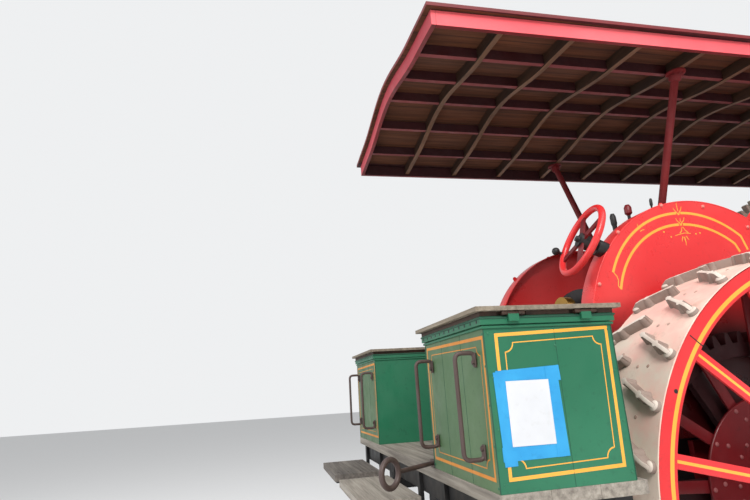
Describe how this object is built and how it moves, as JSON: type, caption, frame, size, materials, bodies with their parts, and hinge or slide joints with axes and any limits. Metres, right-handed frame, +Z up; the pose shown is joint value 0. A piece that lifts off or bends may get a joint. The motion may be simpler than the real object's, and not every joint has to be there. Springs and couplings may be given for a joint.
{
  "type": "steam traction engine",
  "caption": "Steam traction engine with lugged drive wheels, bull gears, a horizontal boiler, a rear platform with lidded fuel bunkers and a long arched canopy.",
  "frame": {"origin": "on the ground, below the middle of the whole engine", "axes": "+X forwards along the engine, +Y to its left, +Z up"},
  "size_m": [5.5699, 2.54, 3.5285],
  "materials": {
    "boiler_black": "satin black enamel with soot and oil",
    "smokebox_black": "matt heat-resistant black",
    "brass": "worn brass",
    "bare_iron": "oily dark cast iron",
    "dark_red_paint": "satin dark red enamel",
    "red_paint": "semi-gloss red enamel with gold stripes",
    "wheel_red": "red enamel worn to bare iron on the tread",
    "bright_steel": "machined steel",
    "weathered_wood": "bare grey weathered planks",
    "green_paint": "semi-gloss green enamel with gold stripes",
    "rail_iron": "brown oiled iron",
    "canopy_wood": "varnished brown boards"
  },
  "bodies": {
    "root": {"boiler": "boiler_black", "smokebox": "smokebox_black", "chimney": "smokebox_black", "steam_dome": "boiler_black", "backhead_fittings": "brass", "rear_axle": "dark_red_paint", "gear_guard_right": "red_paint", "gear_guard_left": "red_paint", "countershaft": "bare_iron", "front_pedestal": "boiler_black", "steering_chains": "bare_iron", "steering_brackets": "boiler_black", "engine_frame": "dark_red_paint", "rear_steps": "weathered_wood", "cylinder": "dark_red_paint", "connecting_rod": "bright_steel", "control_levers": "boiler_black", "platform": "weathered_wood", "platform_frame": "boiler_black", "bunker_right": "green_paint", "bunker_left": "green_paint", "grab_rails": "rail_iron", "hitch": "boiler_black", "canopy_roof": "canopy_wood", "canopy_fascia": "red_paint", "canopy_ribs": "canopy_wood", "canopy_posts": "dark_red_paint"},
    "rear_wheel_right": {"rear_rim_right": "wheel_red", "rear_hub_right": "wheel_red", "bull_gear_right": "dark_red_paint"},
    "rear_wheel_left": {"rear_rim_left": "wheel_red", "rear_hub_left": "wheel_red", "bull_gear_left": "dark_red_paint"},
    "pinion_right": {"pinion_right": "bare_iron"},
    "pinion_left": {"pinion_left": "bare_iron"},
    "front_axle": {"front_axle": "boiler_black"},
    "front_wheel_right": {"front_wheel_right": "wheel_red"},
    "front_wheel_left": {"front_wheel_left": "wheel_red"},
    "steering_roller": {"steering_roller": "bare_iron"},
    "intermediate_gear": {"intermediate_gear": "red_paint"},
    "handwheel": {"handwheel": "red_paint"},
    "crankshaft": {"crankshaft": "bright_steel", "flywheel": "red_paint"},
    "smokebox_door": {"smokebox_door": "smokebox_black"},
    "fire_door": {"fire_door": "bare_iron"},
    "lid_right": {"lid_right": "weathered_wood"},
    "lid_left": {"lid_left": "weathered_wood"}
  },
  "joints": [
    {"name": "rear_wheel_right_spin", "type": "hinge", "parent": "root", "child": "rear_wheel_right", "pos_m": [-0.725, -0.95, 1.079], "axis": [0, 1, 0], "continuous": true},
    {"name": "rear_wheel_left_spin", "type": "hinge", "parent": "root", "child": "rear_wheel_left", "pos_m": [-0.725, 0.95, 1.079], "axis": [0, 1, 0], "continuous": true},
    {"name": "pinion_right_spin", "type": "hinge", "parent": "root", "child": "pinion_right", "pos_m": [0.1445, -0.658, 1.17697], "axis": [0, 1, 0], "continuous": true},
    {"name": "pinion_left_spin", "type": "hinge", "parent": "root", "child": "pinion_left", "pos_m": [0.1445, 0.658, 1.17697], "axis": [0, 1, 0], "continuous": true},
    {"name": "steer", "type": "hinge", "parent": "root", "child": "front_axle", "pos_m": [2.225, 0, 0.66], "axis": [0, 0, 1], "range_deg": [-22, 22]},
    {"name": "front_wheel_right_spin", "type": "hinge", "parent": "front_axle", "child": "front_wheel_right", "pos_m": [2.225, -0.69, 0.56], "axis": [0, 1, 0], "continuous": true},
    {"name": "front_wheel_left_spin", "type": "hinge", "parent": "front_axle", "child": "front_wheel_left", "pos_m": [2.225, 0.69, 0.56], "axis": [0, 1, 0], "continuous": true},
    {"name": "handwheel_spin", "type": "hinge", "parent": "root", "child": "handwheel", "pos_m": [-1.442, -0.55, 2.329], "axis": [0.8879, -0.109, -0.4469], "range_deg": [-660, 660]},
    {"name": "roller_spin", "type": "hinge", "parent": "root", "child": "steering_roller", "pos_m": [-0.085, 0, 0.985], "axis": [0, 1, 0], "range_deg": [-145.2, 145.2]},
    {"name": "crankshaft_spin", "type": "hinge", "parent": "root", "child": "crankshaft", "pos_m": [0.425, 0, 2.6], "axis": [0, 1, 0], "continuous": true},
    {"name": "intermediate_gear_spin", "type": "hinge", "parent": "root", "child": "intermediate_gear", "pos_m": [0.057, -0.468, 2.188], "axis": [0, 1, 0], "continuous": true},
    {"name": "smokebox_door_hinge", "type": "hinge", "parent": "root", "child": "smokebox_door", "pos_m": [2.579, 0.412, 1.72], "axis": [0, 0, 1], "range_deg": [0, 110]},
    {"name": "fire_door_hinge", "type": "hinge", "parent": "root", "child": "fire_door", "pos_m": [-1.195, 0.24, 1.56], "axis": [0, 0, -1], "range_deg": [0, 100]},
    {"name": "lid_right_hinge", "type": "hinge", "parent": "root", "child": "lid_right", "pos_m": [-2.125, -1.258, 1.858], "axis": [1, 0, 0], "range_deg": [0, 95]},
    {"name": "lid_left_hinge", "type": "hinge", "parent": "root", "child": "lid_left", "pos_m": [-2.125, 1.258, 1.858], "axis": [-1, 0, 0], "range_deg": [0, 95]}
  ],
  "couplings": [
    {"joint": "pinion_right_spin", "follows": "rear_wheel_right_spin", "ratio": -4},
    {"joint": "pinion_left_spin", "follows": "rear_wheel_left_spin", "ratio": -4},
    {"joint": "handwheel_spin", "follows": "steer", "ratio": 30},
    {"joint": "roller_spin", "follows": "steer", "ratio": 6.6}
  ]
}
